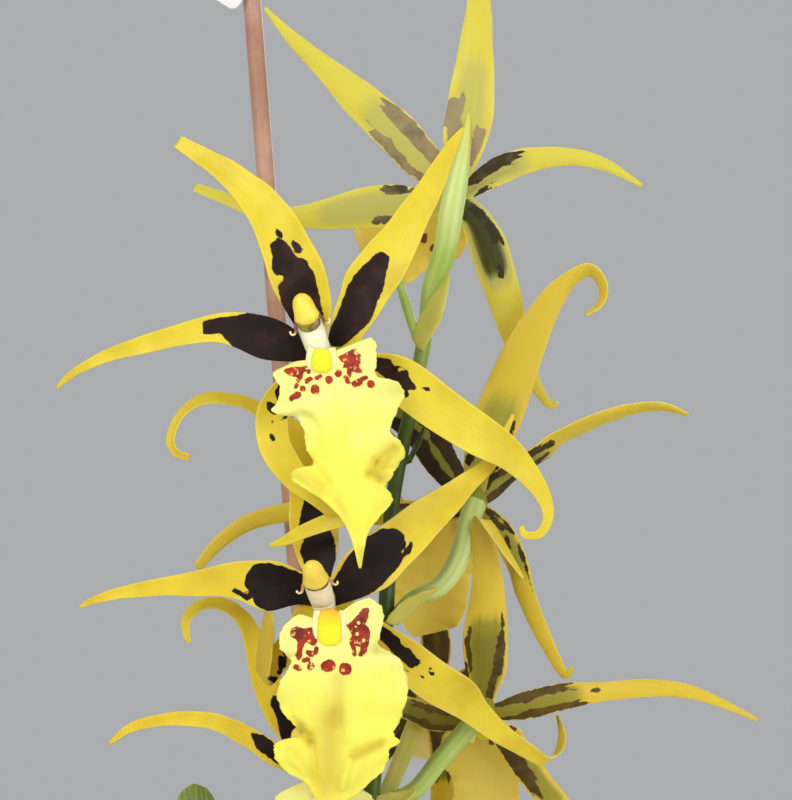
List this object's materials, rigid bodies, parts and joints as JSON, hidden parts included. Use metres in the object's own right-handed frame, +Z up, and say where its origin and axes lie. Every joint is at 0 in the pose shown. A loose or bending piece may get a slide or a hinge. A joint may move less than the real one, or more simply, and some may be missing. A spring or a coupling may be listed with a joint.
{
  "type": "potted orchid in flower",
  "caption": "Spidery yellow and brown orchid spike on a stake, growing with its strap leaves and pseudobulbs from bark in a plain clay pot",
  "frame": {"origin": "middle of the pot's underside, on the surface it stands on", "axes": "+Z up along the plant; the spike is seen best along +Y; +X to the right in that view"},
  "size_m": [0.3797, 0.2587, 0.6227],
  "materials": {
    "tepal": "waxy petal, yellow with dark brown bases",
    "lip": "soft satin petal, lemon yellow with red marks",
    "column": "waxy, cream with a yellow cap",
    "stem": "smooth green stem, dark on the rachis and pale on the pedicels",
    "leaf": "leathery green leaf with fine lengthwise veins",
    "bulb": "smooth to furrowed green pseudobulb with dry sheaths",
    "cane": "smooth pinkish-brown cane",
    "tie": "soft dark green tie",
    "tag": "plain white plastic, blank",
    "bark": "rough fir bark chips",
    "clay": "unglazed terracotta"
  },
  "bodies": {
    "root": {"bloom_a_tepals": "tepal", "bloom_a_lip": "lip", "bloom_a_column": "column", "bloom_b_tepals": "tepal", "bloom_b_lip": "lip", "bloom_b_column": "column", "bloom_c_tepals": "tepal", "bloom_c_lip": "lip", "bloom_c_column": "column", "bloom_d_tepals": "tepal", "bloom_d_lip": "lip", "bloom_d_column": "column", "bloom_e_tepals": "tepal", "bloom_e_lip": "lip", "bloom_e_column": "column", "bloom_f_tepals": "tepal", "bloom_f_lip": "lip", "bloom_f_column": "column", "bloom_g_tepals": "tepal", "bloom_g_lip": "lip", "bloom_g_column": "column", "flower_stem": "stem", "stake": "cane", "stem_tie": "tie", "tag": "tag", "pseudobulb_1": "bulb", "pseudobulb_2": "bulb", "pseudobulb_3": "bulb", "pseudobulb_4": "bulb", "leaf_1": "leaf", "leaf_2": "leaf", "leaf_3": "leaf", "leaf_4": "leaf", "leaf_5": "leaf", "leaf_6": "leaf", "leaf_7": "leaf", "leaf_8": "leaf", "leaf_9": "leaf", "bark_mix": "bark", "pot": "clay"}
  },
  "joints": []
}
